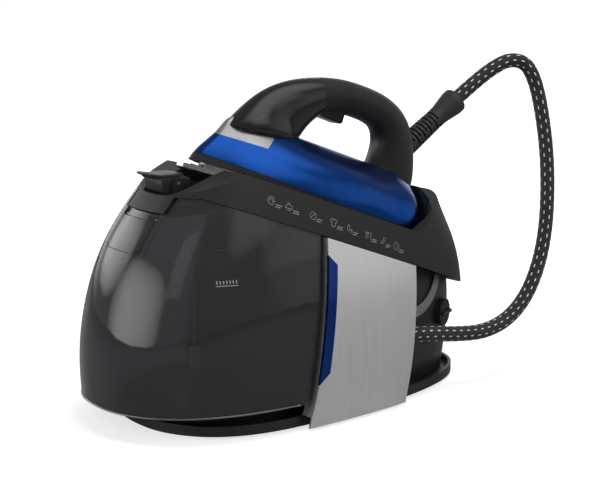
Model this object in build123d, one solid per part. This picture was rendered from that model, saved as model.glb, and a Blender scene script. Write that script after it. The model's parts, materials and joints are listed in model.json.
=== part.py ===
from build123d import *
import math
import os

os.makedirs("parts", exist_ok=True)

# ---------------------------------------------------------------- driving dimensions (mm, degrees)
BIG = 900.0                    # side of the boxes that stand for half spaces

# outer skin of the station: height over the floor, front, rear, half width
SKIN = [
    (2.0, 196.0, -194.0, 100.0),
    (24.0, 199.0, -196.0, 103.0),
    (50.0, 200.0, -199.0, 105.0),
    (80.0, 198.0, -200.0, 104.5),
    (110.0, 192.0, -197.0, 102.0),
    (140.0, 182.0, -188.0, 97.0),
    (165.0, 169.0, -176.0, 91.0),
    (190.0, 151.0, -166.0, 83.0),
    (215.0, 129.0, -153.0, 73.0),
    (235.0, 108.0, -140.0, 62.0),
]
WIDEST_X = 57.0                # where the plan is widest
FRONT_FULLNESS = 2.3           # exponents of the plan's front and rear halves
REAR_FULLNESS = 2.3
PLAN_POINTS = 20

TILT = 20.0                    # the iron lies nose up by this
TIP_X, TIP_Z = 114.0, 225.0    # underside of the soleplate's tip
RIM_OVER_SOLE = 7.0            # the band's upper edge over the sole's plane
BAND_UNDER_SOLE = 23.0         # the band's lower edge under the sole's plane
TRAY_UNDER_SOLE = 7.0          # tray floor under the sole's plane
TRAY_FLOOR = 3.0
PEAK_X = 85.0                  # the rim is highest here, then falls towards the front
FRONT_FALL = 18.8
SHELL_WALL = 3.0
SEAM = 0.5                     # gap between neighbouring shells
FIT = 0.1                      # gap of a seated piece
SOFT = 0.3                     # gap between moving pieces

BASE_FRONT, BASE_REAR, BASE_HALF = 162.0, -191.0, 95.0
BASE_Z, BASE_FLOOR, BASE_RIM_Z = 3.0, 3.0, 12.0
GROOVE_WIDTH = 18.0            # hose groove between the rim and the plinth
FOOT_R, FOOT_H = 9.0, 3.4

CORE_INSET = 24.0              # black core behind the side panels
CORE_REAR_INSET = 11.0
CORE_WALL = 3.0

TANK_WALL = 2.5
TANK_FLOOR_Z = 24.3
TANK_TOP_Z = 203.0
TANK_BACK_X, TANK_BACK_LEAN = 52.6, 9.2     # back wall at the floor, and its lean
NOTCH_HALF, NOTCH_Z = 34.5, 190.0           # step in the tank's top under the dish

DISH_HALF, DISH_FLOOR_Z = 27.0, 193.0
DISH_REAR_X, DISH_FRONT_X, DISH_CORNER_R = 88.0, 141.0, 14.0

FLAP_HALF, FLAP_LOW_Z, FLAP_TOP_Z, FLAP_THICK = 27.0, 158.0, 184.0, 2.2
FLAP_PIN_R, KNUCKLE_R, FLAP_AXIS_X = 1.1, 2.4, 148.5
FLAP_AXIS_Z = FLAP_TOP_Z - 0.5
MOUTH_HALF, MOUTH_LOW_Z, MOUTH_TOP_Z = 20.0, 165.0, 179.0

PANEL_OFF, PANEL_THICK = 4.0, 2.0
PANEL_LOW_Z = 3.0
PANEL_FRONT_X = 50.0           # at the floor; it leans back like the tank
PANEL_REAR_X, PANEL_REAR_LEAN = -67.0, 6.0
STRIP_LOW_Z, STRIP_TOP_Z, STRIP_WIDTH, STRIP_END = 42.0, 152.0, 10.0, 9.0
POST_R = 6.0
POST_PLACES = [(8.0, 22.0), (-52.0, 22.0), (0.0, 112.0), (-40.0, 106.0)]
SCREW_R, SCREW_HEAD_R = 1.8, 3.4

HOSE_R = 6.7
GLAND_X, GLAND_Y, GLAND_Z = -42.0, 85.0, 63.0
GLAND_SIZE = 22.0

BOILER_R, BOILER_LENGTH, BOILER_X, BOILER_Z = 36.0, 104.0, -78.0, 58.0
BOILER_WALL = 2.0
PUMP_X, PUMP_R, PUMP_LENGTH = -4.0, 15.0, 58.0
SOCKET_R, SOCKET_Y, SOCKET_Z = 8.0, -52.0, 42.0
VALVE_R = 10.0
INLET_R, INLET_Y, INLET_Z = 7.0, -26.0, 30.0
TUBE_R, TUBE_BORE_R = 4.0, 2.2
BOARD_REAR, BOARD_FRONT, BOARD_Y, BOARD_THICK = -24.0, 30.0, 42.0, 1.6

LATCH_X, LATCH_Z = 124.0, 213.0            # latch pin
LATCH_HALF, LATCH_R, LATCH_PIN_R = 15.0, 15.0, 1.5
LATCH_PLATE_LOW, LATCH_PLATE_TOP, LATCH_CLAW = 5.0, 9.0, 4.0
LATCH_REAR, LATCH_FRONT = 8.0, 22.0
EAR_R, EAR_THICK = 4.5, 3.0

# the iron, in its own frame: back from the tip, up from the sole
SOLE_LENGTH, SOLE_HALF, SOLE_THICK, SOLE_EDGE = 236.0, 56.0, 5.0, 1.2
TRAY_CLEAR = 7.0
SKIRT_LOW, SKIRT_TOP, SKIRT_FALL = 9.5, 17.0, 0.055
BLUE_TOP = 59.0
TRIM_LOW, TRIM_TOP, TRIM_BACK = 38.2, 48.7, 76.0
HEEL_BACK, HEEL_THICK = 250.0, 9.0
IRON_WALL = 2.5
# outer hull of the iron: height over the sole, tip, rear, half width
HULL = [
    (9.5, 10.0, 262.0, 55.0),
    (17.0, 13.0, 262.0, 55.0),
    (28.0, 20.0, 261.0, 52.5),
    (39.0, 28.0, 259.0, 46.0),
    (48.7, 33.0, 256.0, 34.0),
    (55.0, 37.0, 252.0, 24.0),
    (59.0, 44.0, 246.0, 14.0),
]
# half outline of the iron from tip to heel: share of the length, share of the half width
IRON_PLAN = [
    (0.03, 0.17), (0.09, 0.37), (0.18, 0.59), (0.30, 0.79), (0.45, 0.94), (0.62, 1.0),
    (0.80, 0.985), (0.92, 0.90), (0.98, 0.66),
]
# sections of the handle: back, up, half height, half width, turn of the section plane
HANDLE = [
    (72.0, 49.2, 36.0, 19.0, 0.0),
    (85.0, 68.0, 31.0, 18.5, 25.0),
    (99.0, 84.0, 25.5, 17.5, 45.0),
    (117.0, 98.0, 19.5, 16.5, 62.0),
    (133.0, 105.5, 17.0, 15.5, 76.0),
    (150.0, 110.0, 16.2, 15.5, 86.0),
    (176.0, 112.0, 16.0, 16.0, 92.0),
    (200.0, 109.5, 17.0, 16.5, 102.0),
    (216.0, 100.0, 20.5, 17.0, 125.0),
    (226.0, 84.0, 24.0, 18.0, 150.0),
    (231.0, 62.0, 28.0, 19.5, 172.0),
    (230.0, 49.2, 29.0, 20.0, 180.0),
]
HANDLE_WALL = 3.0
PART_BACK, PART_UP, PART_TURN = 124.0, 102.0, 72.0     # parting line of handle front and grip
TRIGGER_BACK, TRIGGER_LENGTH, TRIGGER_WIDTH, TRIGGER_DEPTH = 126.0, 30.0, 14.0, 9.0
LENS_BACK, LENS_R = 104.0, 3.2
RELIEF_BACK, RELIEF_UP, RELIEF_TURN, RELIEF_LENGTH = 246.0, 91.0, 53.0, 74.0
RELIEF_R, RELIEF_COLLAR_R, RELIEF_RIBS = 11.0, 13.0, 9

# route of the hose's middle line, from the strain relief's end to the gland
HOSE_ROUTE = [
    (-259.0, 2.0, 297.0),
    (-280.0, 6.0, 306.0),
    (-298.0, 12.0, 302.0),
    (-306.0, 18.0, 283.0),
    (-308.0, 26.0, 254.0),
    (-307.0, 36.0, 213.0),
    (-301.0, 45.0, 172.0),
    (-290.0, 54.0, 134.0),
    (-273.0, 62.0, 100.0),
    (-248.0, 69.0, 71.0),
    (-216.0, 75.0, 54.0),
    (-180.0, 80.0, 49.0),
    (-143.0, 82.5, 53.0),
    (-109.0, 84.0, 59.0),
]
HOSE_STRAIGHT = 26.0           # straight out of the strain relief and of the gland
GLAND_NOSE = 6.0

SIN, COS = math.sin(math.radians(TILT)), math.cos(math.radians(TILT))
REST = Plane(origin=(TIP_X, 0, TIP_Z), x_dir=(COS, 0, SIN), z_dir=(-SIN, 0, COS))


# ---------------------------------------------------------------- helpers
def above(plane, gap=0.0):
    return plane * Pos(0, 0, gap + BIG / 2) * Box(BIG, BIG, BIG)


def below(plane, gap=0.0):
    return plane * Pos(0, 0, -gap - BIG / 2) * Box(BIG, BIG, BIG)


def level(z):
    return Plane(origin=(0, 0, z))


def slab(x0, x1, y0, y1, z0, z1):
    size = Box(x1 - x0, y1 - y0, z1 - z0)
    return Pos((x0 + x1) / 2, (y0 + y1) / 2, (z0 + z1) / 2) * size


def rod(start, end, radius):
    """Round bar from start to end."""
    a, b = Vector(*start), Vector(*end)
    plane = Plane(origin=a, z_dir=b - a)
    return plane * Pos(0, 0, (b - a).length / 2) * Cylinder(radius, (b - a).length)


def curved(base, power):
    return math.copysign(abs(base) ** (2 / power), base)


def closed_half(points):
    """Face inside a smooth half outline, from the front to the rear, and its mirror image."""
    left = Spline(*points, tangents=[(0, 1, 0), (0, -1, 0)])
    right = Spline(*[(x, -y, z) for x, y, z in points], tangents=[(0, -1, 0), (0, 1, 0)])
    return make_face([left, right])


def oval(front, rear, half, z):
    """Closed plan of the station: fuller in front than at the rear."""
    points = []
    for i in range(PLAN_POINTS):
        angle = 2 * math.pi * (i + 0.5) / PLAN_POINTS
        c, s = math.cos(angle), math.sin(angle)
        power = FRONT_FULLNESS if c > 0 else REAR_FULLNESS
        reach = front - WIDEST_X if c > 0 else WIDEST_X - rear
        points.append((WIDEST_X + reach * curved(c, power), half * curved(s, power), z))
    return make_face(Spline(*points, periodic=True))


def skin(inset=0.0, rear_inset=None):
    """Solid under the station's outer skin, drawn in by inset."""
    back = inset if rear_inset is None else rear_inset
    return loft([oval(f - inset, r + back, h - inset, z) for z, f, r, h in SKIN])


def skin_row(z, inset=0.0, rear_inset=None):
    """Front, rear and half width at a height, between the two nearest rows."""
    low = max((row for row in SKIN if row[0] <= z), key=lambda row: row[0])
    high = min((row for row in SKIN if row[0] > z), key=lambda row: row[0])
    share = (z - low[0]) / (high[0] - low[0])
    front, rear, half_width = (low[i] + share * (high[i] - low[i]) for i in (1, 2, 3))
    back = inset if rear_inset is None else rear_inset
    return front - inset, rear + back, half_width - inset


def skin_half(x, z, inset=0.0, rear_inset=None):
    """Half width of the skin at a place."""
    front, rear, half_width = skin_row(z, inset, rear_inset)
    power = FRONT_FULLNESS if x > WIDEST_X else REAR_FULLNESS
    reach = (front if x > WIDEST_X else rear) - WIDEST_X
    return half_width * max(0.0, 1 - abs((x - WIDEST_X) / reach) ** power) ** (1 / power)


def skin_rear(y, z, inset=0.0, rear_inset=None):
    """Rear end of the skin beside the middle."""
    rear, half_width = skin_row(z, inset, rear_inset)[1:]
    return WIDEST_X + (rear - WIDEST_X) * (1 - abs(y / half_width) ** REAR_FULLNESS) ** (1 / REAR_FULLNESS)


def rest_point(back, side, up):
    """Place in the iron's own frame, given in the station's."""
    return (TIP_X - back * COS - up * SIN, side, TIP_Z - back * SIN + up * COS)


def rest_height(x, up):
    """Height over the floor of the plane that lies up over the sole, at x."""
    return TIP_Z + (x - TIP_X) * SIN / COS + up / COS


def iron_side(tip, rear, half, up):
    length = rear - tip
    return [(-(tip + s * length), half * w, up) for s, w in IRON_PLAN]


def iron_outline(tip, rear, half, up):
    return closed_half([(-tip, 0, up)] + iron_side(tip, rear, half, up) + [(-rear, 0, up)])


def iron_clearance(tip, rear, half, up, height):
    """A block in the iron's outline, with one smooth wall all round."""
    side = iron_side(tip, rear, half, up)
    other = [(x, -y, z) for x, y, z in reversed(side)]
    ring = Spline(*([(-tip, 0, up)] + side + [(-rear, 0, up)] + other), periodic=True)
    return extrude(make_face(ring), height)


def iron_hull(inset=0.0):
    return loft([iron_outline(t + inset, r - inset, h - inset, u) for u, t, r, h in HULL])


def handle_section(back, up, high, wide, turn):
    angle = math.radians(turn)
    outward = (math.cos(angle), 0, math.sin(angle))
    along = (-math.sin(angle), 0, math.cos(angle))
    plane = Plane(origin=(-back, 0, up), x_dir=outward, z_dir=along)
    return plane * make_face(Ellipse(high, wide).wire())


def handle_hull(grow=0.0):
    return loft([handle_section(b, u, h + grow, w + grow, t) for b, u, h, w, t in HANDLE])


def tube_path(points, share=0.45):
    """Straight runs joined by arcs as large as the runs allow."""
    corners = [Vector(*p) for p in points]
    radii = []
    for a, b, c in zip(corners, corners[1:], corners[2:]):
        turn = math.radians((b - a).get_angle(c - b))
        radii.append(share * min((b - a).length, (c - b).length) / math.tan(turn / 2))
    return FilletPolyline(*corners, radius=radii), radii


def tube(points, outer, bore=0.0):
    path, radii = tube_path(points)
    start = Plane(origin=path @ 0, z_dir=path % 0)
    solid = sweep(start * Circle(outer), path=path)
    if bore:
        solid -= sweep(start * Circle(bore), path=path)
    return solid, path, radii


def save(name, *shapes):
    """One solid goes out as it is, several as one group of separate solids."""
    solids = [s for shape in shapes for s in shape.solids()]
    export_step(solids[0] if len(solids) == 1 else Compound(children=solids), f"parts/{name}.step")


# ---------------------------------------------------------------- shared cutting planes
RIM = REST.offset(RIM_OVER_SOLE)
BAND_LOW = REST.offset(-BAND_UNDER_SOLE)
PEAK_Z = rest_height(PEAK_X, RIM_OVER_SOLE)
FALL = math.radians(FRONT_FALL)
FRONT_SLOPE = Plane(origin=(PEAK_X, 0, PEAK_Z), x_dir=(math.cos(FALL), 0, -math.sin(FALL)),
                    z_dir=(math.sin(FALL), 0, math.cos(FALL)))
LEAN = math.radians(TANK_BACK_LEAN)
TANK_BACK = Plane(origin=(TANK_BACK_X, 0, 0), x_dir=(0, 1, 0),
                  z_dir=(math.cos(LEAN), 0, math.sin(LEAN)))
SOCKET_X = TANK_BACK_X - SOCKET_Z * math.tan(LEAN)
OUTER = skin()


# ---------------------------------------------------------------- base
def base_oval(inset, z0, z1):
    face = oval(BASE_FRONT - inset, BASE_REAR + inset, BASE_HALF - inset, z0)
    return extrude(face, z1 - z0)


BOSS_R, BOSS_TOP_Z = 5.0, 18.0
BOSS_PLACES = [(x, side * (skin_half(x, 10, CORE_INSET, CORE_REAR_INSET) - 5)) for x in (20.0, -120.0) for side in (1, -1)]
INLET_X = skin_rear(INLET_Y, INLET_Z, CORE_INSET, CORE_REAR_INSET)


def base_plate():
    body = base_oval(0, BASE_Z, BASE_RIM_Z)
    body -= base_oval(SHELL_WALL, BASE_Z + BASE_FLOOR, BASE_RIM_Z + 1)
    plinth = base_oval(GROOVE_WIDTH, BASE_Z, TANK_FLOOR_Z - SOFT) & above(TANK_BACK)
    hollow = base_oval(GROOVE_WIDTH + SHELL_WALL, BASE_Z - 1, TANK_FLOOR_Z - SHELL_WALL)
    body = body + plinth - (hollow & above(TANK_BACK, SHELL_WALL))
    for x, y in FOOT_PLACES:
        body -= Pos(x, y, BASE_Z) * Cylinder(FOOT_R + FIT, 2 * (FOOT_H - BASE_Z + FIT))
    for x, y in BOSS_PLACES:
        body -= rod((x, y, 0), (x, y, BASE_Z + 1.9), SCREW_HEAD_R + FIT)
        body -= rod((x, y, 0), (x, y, BASE_Z + BASE_FLOOR + 1), SCREW_R + FIT)
    return body


FOOT_PLACES = [(118.0, 30.0), (118.0, -30.0), (-138.0, 34.0), (-138.0, -34.0)]


def rubber_feet():
    return [Pos(x, y, FOOT_H / 2) * Cylinder(FOOT_R, FOOT_H) for x, y in FOOT_PLACES]




# ---------------------------------------------------------------- core and upper casing
CORE = skin(CORE_INSET, CORE_REAR_INSET)
CORE_SPACE = skin(CORE_INSET + CORE_WALL, CORE_REAR_INSET + CORE_WALL)
CORE_LOW_Z = BASE_Z + BASE_FLOOR + FIT


def post_place(x, z, side):
    return side * skin_half(x, z, -PANEL_OFF + SOFT), side * skin_half(x, z, CORE_INSET + CORE_WALL, CORE_REAR_INSET + CORE_WALL)


def inner_casing():
    body = CORE & below(TANK_BACK, SEAM) & below(BAND_LOW, SEAM) & above(level(CORE_LOW_Z))
    body -= CORE_SPACE & below(TANK_BACK, SEAM + CORE_WALL) & above(level(CORE_LOW_Z - 1))
    for x, z in POST_PLACES:
        for side in (1, -1):
            outer, inner = post_place(x, z, side)
            body += rod((x, inner, z), (x, outer + side * POST_R, z), POST_R) & skin(FIT - PANEL_OFF)
    for x, y in BOSS_PLACES:
        body += rod((x, y, CORE_LOW_Z), (x, y, BOSS_TOP_Z), BOSS_R) & CORE
        body -= rod((x, y, 0), (x, y, BOSS_TOP_Z - 2), SCREW_R + FIT / 2)
    gland_x = GLAND_X + GLAND_SIZE / 2
    body -= rod((gland_x, 30, GLAND_Z), (gland_x, BIG / 2, GLAND_Z), TUBE_R + SOFT)
    body -= socket_place(SOCKET_R + FIT)
    body -= inlet_place(INLET_R + FIT)
    outer, inner = drain_socket()
    return body + outer - inner - drain_bore()


def base_screws():
    screws = []
    for x, y in BOSS_PLACES:
        shank = rod((x, y, BASE_Z + 1), (x, y, BOSS_TOP_Z - 3), SCREW_R)
        screws.append(shank + rod((x, y, BASE_Z + 0.3), (x, y, BASE_Z + 1.8), SCREW_HEAD_R))
    return screws


def socket_place(radius):
    x = SOCKET_X
    return rod((x - 14, SOCKET_Y, SOCKET_Z), (x + 14, SOCKET_Y, SOCKET_Z), radius)


def inlet_place(radius):
    return rod((INLET_X - 6, INLET_Y, INLET_Z), (INLET_X + 14, INLET_Y, INLET_Z), radius)


def dish(half, floor, front):
    """Pocket with rounded front corners, open upwards."""
    pocket = slab(DISH_REAR_X, front, -half, half, floor, BIG)
    return fillet(pocket.edges().filter_by(Axis.Z).group_by(Axis.X)[-1], DISH_CORNER_R)


def upper_casing():
    band = OUTER & above(BAND_LOW) & below(RIM) & below(FRONT_SLOPE)
    nose = OUTER & above(level(TANK_TOP_Z + SEAM)) & below(FRONT_SLOPE) & below(RIM)
    cup = OUTER & slab(DISH_REAR_X - SHELL_WALL, BIG, -DISH_HALF - SHELL_WALL, DISH_HALF + SHELL_WALL,
                       NOTCH_Z + SEAM, BIG) & below(FRONT_SLOPE) & below(RIM)
    heel_top = Plane(origin=(HEEL_WALL_X, 0, rest_height(HEEL_WALL_X, RIM_OVER_SOLE)),
                     z_dir=(math.sin(math.radians(HEEL_WALL_RISE)), 0, math.cos(math.radians(HEEL_WALL_RISE))))
    wall = OUTER & below(heel_top) & above(RIM, -1) & below(level(HEEL_WALL_Z)) & slab(-BIG, HEEL_WALL_X, -BIG, BIG, 0, BIG)
    wall -= REST * iron_clearance(-SEAM, HULL[0][2] + HEEL_CLEAR, HULL[0][3] + HEEL_CLEAR, -1, 120)
    body = band + nose + cup + wall
    body -= REST * iron_clearance(-TRAY_CLEAR, HULL[0][2] + HEEL_CLEAR, SOLE_HALF + TRAY_CLEAR, -TRAY_UNDER_SOLE, 60)
    body -= dish(DISH_HALF, DISH_FLOOR_Z, DISH_FRONT_X - SHELL_WALL)
    for side in (1, -1):
        body += latch_ear(side)
    body -= latch_pin(LATCH_PIN_R + FIT / 2)
    body -= button_bar(BUTTON_R + SOFT, -8, 8)
    space = skin(SHELL_WALL) & above(BAND_LOW, SHELL_WALL) & below(REST.offset(-TRAY_UNDER_SOLE - TRAY_FLOOR))
    mouth = CORE_SPACE & above(BAND_LOW, -1) & below(BAND_LOW, -SHELL_WALL - 1)
    rear_of_dish = slab(-BIG, DISH_REAR_X - 2 * SHELL_WALL, -BIG, BIG, 0, BIG)
    body -= space & rear_of_dish
    body -= mouth & below(TANK_BACK, SEAM + CORE_WALL)
    return body


HEEL_WALL_X, HEEL_WALL_Z, HEEL_WALL_RISE, HEEL_CLEAR = -100.0, 182.0, 22.0, 4.0
HEEL_GAP = 1.2                       # from the heel cover to the wall behind it


# ---------------------------------------------------------------- water tank
def tank_block(inset, front_gap):
    """The tank's outside, or its inside when drawn in by a wall."""
    shape = skin(inset) if inset else OUTER
    shape = shape & above(level(TANK_FLOOR_Z + inset)) & above(TANK_BACK, front_gap)
    shape = shape & below(BAND_LOW, SEAM + inset) & below(level(TANK_TOP_Z - inset))
    step = slab(0, BIG, -NOTCH_HALF - inset, NOTCH_HALF + inset, NOTCH_Z - inset, BIG)
    return shape - step


def tank_shell():
    body = tank_block(0, SEAM) - tank_block(TANK_WALL, SEAM + TANK_WALL)
    seat = (skin(FLAP_THICK + FIT) - skin(2 * TANK_WALL)) & slab(90, BIG, -FLAP_HALF - 4, FLAP_HALF + 4, FLAP_LOW_Z - 4, NOTCH_Z - 1)
    body += seat & tank_block(0, SEAM)
    body -= slab(90, BIG, -MOUTH_HALF, MOUTH_HALF, MOUTH_LOW_Z, MOUTH_TOP_Z)
    recess = OUTER - skin(FLAP_THICK + FIT)
    body -= recess & slab(90, BIG, -FLAP_HALF - SEAM, FLAP_HALF + SEAM, FLAP_LOW_Z - SEAM, NOTCH_Z)
    body -= rod((FLAP_AXIS_X, -FLAP_HALF - SEAM, FLAP_AXIS_Z), (FLAP_AXIS_X, FLAP_HALF + SEAM, FLAP_AXIS_Z), KNUCKLE_R + SOFT)
    body -= rod((FLAP_AXIS_X, -FLAP_HALF - 3, FLAP_AXIS_Z), (FLAP_AXIS_X, FLAP_HALF + 3, FLAP_AXIS_Z), FLAP_PIN_R + 0.05)
    body -= tank_port(VALVE_R + FIT)
    return body


def tank_port(radius):
    return rod((SOCKET_X - 6, SOCKET_Y, SOCKET_Z), (SOCKET_X + 8, SOCKET_Y, SOCKET_Z), radius)


def tank_valve():
    """Outlet valve in the tank's back wall, with a strainer basket inside."""
    body = rod((SOCKET_X + 2.6, SOCKET_Y, SOCKET_Z), (SOCKET_X + 14, SOCKET_Y, SOCKET_Z), VALVE_R)
    body += rod((SOCKET_X + 6.4, SOCKET_Y, SOCKET_Z), (SOCKET_X + 9, SOCKET_Y, SOCKET_Z), VALVE_R + 3)
    body += rod((SOCKET_X + 13, SOCKET_Y, SOCKET_Z), (SOCKET_X + 26, SOCKET_Y, SOCKET_Z), VALVE_R - 3)
    return body - rod((SOCKET_X, SOCKET_Y, SOCKET_Z), (SOCKET_X + 24, SOCKET_Y, SOCKET_Z), 3.2)


def tank_flap():
    leaf = (OUTER - skin(FLAP_THICK)) & slab(90, BIG, -FLAP_HALF, FLAP_HALF, FLAP_LOW_Z, FLAP_TOP_Z)
    knuckle = rod((FLAP_AXIS_X, -FLAP_HALF + 2, FLAP_AXIS_Z), (FLAP_AXIS_X, FLAP_HALF - 2, FLAP_AXIS_Z), KNUCKLE_R)
    body = leaf + knuckle
    body -= rod((FLAP_AXIS_X, -BIG / 4, FLAP_AXIS_Z), (FLAP_AXIS_X, BIG / 4, FLAP_AXIS_Z), FLAP_PIN_R + 0.05)
    return body




def flap_pin():
    reach = FLAP_HALF + 2.8
    return rod((FLAP_AXIS_X, -reach, FLAP_AXIS_Z), (FLAP_AXIS_X, reach, FLAP_AXIS_Z), FLAP_PIN_R)


# ---------------------------------------------------------------- carry-lock latch
def latch_ear(side):
    y0, y1 = sorted((side * (LATCH_HALF + SOFT), side * (LATCH_HALF + SOFT + EAR_THICK)))
    stem = slab(LATCH_X - EAR_R, LATCH_X + EAR_R, y0, y1, DISH_FLOOR_Z - 1, LATCH_Z)
    return stem + rod((LATCH_X, y0, LATCH_Z), (LATCH_X, y1, LATCH_Z), EAR_R)


def latch_pin(radius):
    reach = LATCH_HALF + SOFT + EAR_THICK
    return rod((LATCH_X, -reach, LATCH_Z), (LATCH_X, reach, LATCH_Z), radius)


def latch():
    drum = rod((LATCH_X, -LATCH_HALF, LATCH_Z), (LATCH_X, LATCH_HALF, LATCH_Z), LATCH_R)
    drum &= below(level(LATCH_Z + LATCH_PLATE_LOW))
    plate = slab(LATCH_X - LATCH_REAR, LATCH_X + LATCH_FRONT, -LATCH_HALF, LATCH_HALF,
                 LATCH_Z + LATCH_PLATE_LOW, LATCH_Z + LATCH_PLATE_TOP)
    claw = slab(LATCH_X + LATCH_FRONT - LATCH_CLAW, LATCH_X + LATCH_FRONT, -LATCH_HALF, LATCH_HALF,
                LATCH_Z + LATCH_PLATE_LOW, LATCH_Z + LATCH_PLATE_TOP + LATCH_CLAW)
    return drum + plate + claw - latch_pin(LATCH_PIN_R + FIT / 2)




# ---------------------------------------------------------------- side panels and trims
PANEL_FRONT = Plane(origin=(PANEL_FRONT_X, 0, 0), x_dir=(0, 1, 0),
                    z_dir=(math.cos(LEAN), 0, math.sin(LEAN)))
REAR_LEAN = math.radians(PANEL_REAR_LEAN)
PANEL_REAR = Plane(origin=(PANEL_REAR_X, 0, 0), x_dir=(0, 1, 0),
                   z_dir=(math.cos(REAR_LEAN), 0, math.sin(REAR_LEAN)))
FLANGE_DEPTH = 12.0
STRIP_PROUD = 0.8


def strip_prism(side, shrink=0.0):
    """Long strip with slanted ends, along the panel's front edge."""
    def place(z, depth):
        return (PANEL_FRONT_X - z * math.tan(LEAN) - depth, z)
    corners = [
        place(STRIP_LOW_Z + shrink, -5), place(STRIP_LOW_Z + shrink, 0),
        place(STRIP_LOW_Z + STRIP_END + shrink, STRIP_WIDTH - shrink),
        place(STRIP_TOP_Z - STRIP_END - shrink, STRIP_WIDTH - shrink),
        place(STRIP_TOP_Z - shrink, 0), place(STRIP_TOP_Z - shrink, -5),
    ]
    face = Plane.XZ * make_face(Polyline(*corners, close=True))
    return extrude(face, -side * BIG / 2)


def half(side):
    return slab(-BIG / 2, BIG / 2, *sorted((0, side * BIG / 2)), -BIG / 2, BIG / 2)


PANEL_OUT = skin(-PANEL_OFF - PANEL_THICK) & above(level(PANEL_LOW_Z)) & below(BAND_LOW, 2 * SEAM)
PANEL_OUT = PANEL_OUT & below(PANEL_FRONT) & above(PANEL_REAR)
PANEL_IN = skin(-PANEL_OFF)


def side_panel(side):
    body = PANEL_OUT - PANEL_IN
    flange = (PANEL_OUT - skin(FLANGE_DEPTH - PANEL_OFF)) & above(PANEL_FRONT, -PANEL_THICK)
    body += flange & above(level(BASE_RIM_Z + SEAM))
    body = body & half(side)
    return body - (strip_prism(side) - PANEL_IN)


def accent_strip(side):
    cover = skin(-PANEL_OFF - PANEL_THICK - STRIP_PROUD) - skin(-PANEL_OFF - FIT)
    return cover & strip_prism(side, FIT) & below(PANEL_FRONT)




RING_X, RING_Z, RING_R, RING_WIDTH, RING_THICK = -100.0, 124.0, 52.0, 10.0, 2.4


def arc_trim():
    cover = skin(CORE_INSET - RING_THICK, CORE_REAR_INSET - RING_THICK) - skin(CORE_INSET - FIT, CORE_REAR_INSET - FIT)
    ring = rod((RING_X, -BIG / 4, RING_Z), (RING_X, BIG / 4, RING_Z), RING_R)
    ring -= rod((RING_X, -BIG / 4, RING_Z), (RING_X, BIG / 4, RING_Z), RING_R - RING_WIDTH)
    return cover & ring & below(BAND_LOW, 2 * SEAM)




DRAIN_X, DRAIN_Z, DRAIN_R, DRAIN_PROUD, DRAIN_DEEP = -150.0, 68.0, 13.0, 6.0, 12.0


def drain_plane():
    """Outward plane on the core's left side, where the drain cap sits."""
    here, fore, aft = (skin_half(DRAIN_X + d, DRAIN_Z, CORE_INSET, CORE_REAR_INSET) for d in (0, 1, -1))
    slope = (fore - aft) / 2
    return Plane(origin=(DRAIN_X, here, DRAIN_Z), x_dir=(1, slope, 0), z_dir=(-slope, 1, 0))


def drain_socket():
    plane = drain_plane()
    outer = plane * Pos(0, 0, -DRAIN_DEEP / 2) * Cylinder(DRAIN_R + SOFT + 2.5, DRAIN_DEEP)
    inner = plane * Pos(0, 0, -DRAIN_DEEP / 2 + 3) * Cylinder(DRAIN_R + SOFT, DRAIN_DEEP)
    return outer, inner


def drain_bore():
    return drain_plane() * Pos(0, 0, -DRAIN_DEEP) * Cylinder(TUBE_R + FIT, 12)


def drain_pipe():
    plane = drain_plane()
    first = plane.from_local_coords((0, 0, -DRAIN_DEEP + 1.0))
    second = plane.from_local_coords((0, 0, -DRAIN_DEEP - 13))
    points = [tuple(first), tuple(second), (-150, 8, 52), (BOILER_X - BOILER_LENGTH / 2 - FIT, 8, 52)]
    return tube(points, TUBE_R, TUBE_BORE_R)[0]


def drain_cap():
    plane = drain_plane()
    low = SOFT + 3 - DRAIN_DEEP
    body = plane * Pos(0, 0, (DRAIN_PROUD + low) / 2) * Cylinder(DRAIN_R, DRAIN_PROUD - low)
    for ring in (4.5, 8.0, 11.0):
        groove = Cylinder(ring + 0.6, 2) - Cylinder(ring - 0.6, 2)
        body -= plane * Pos(0, 0, DRAIN_PROUD) * groove
    body += plane * Pos(0, 0, DRAIN_PROUD + 1) * Box(2 * DRAIN_R - 5, 3, 4)
    return body


def hose_gland():
    box = slab(GLAND_X, GLAND_X + GLAND_SIZE, GLAND_Y - GLAND_SIZE, GLAND_Y + GLAND_SIZE / 2,
               GLAND_Z - GLAND_SIZE / 2, GLAND_Z + GLAND_SIZE / 2)
    box = fillet(box.edges().filter_by(Axis.X), 2.0)
    nose = rod((GLAND_X, GLAND_Y, GLAND_Z), (GLAND_X - GLAND_NOSE, GLAND_Y, GLAND_Z), HOSE_R + 2.2)
    return box + nose - skin(CORE_INSET - FIT, CORE_REAR_INSET - FIT)



# ---------------------------------------------------------------- works inside the station
def boiler():
    middle = Pos(BOILER_X, 0, BOILER_Z) * Rotation(0, 90, 0)
    shell = middle * Cylinder(BOILER_R, BOILER_LENGTH)
    shell = fillet(shell.edges(), 10.0)
    inside = middle * Cylinder(BOILER_R - BOILER_WALL, BOILER_LENGTH - 2 * BOILER_WALL)
    shell -= fillet(inside.edges(), 8.0)
    for x in (BOILER_X - 34, BOILER_X + 34):
        shell += slab(x - 6, x + 6, -22, 22, CORE_LOW_Z, BOILER_Z - BOILER_R + 8) - middle * Cylinder(BOILER_R - 0.5, BOILER_LENGTH)
    return shell


def boiler_heater():
    band = Pos(BOILER_X, 0, BOILER_Z) * Rotation(0, 90, 0) * (
        Cylinder(BOILER_R + 3.2, 26) - Cylinder(BOILER_R + FIT, 26))
    return band & slab(-BIG, BIG, -BIG, BIG, BOILER_Z - 50, BOILER_Z + 12)


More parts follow.
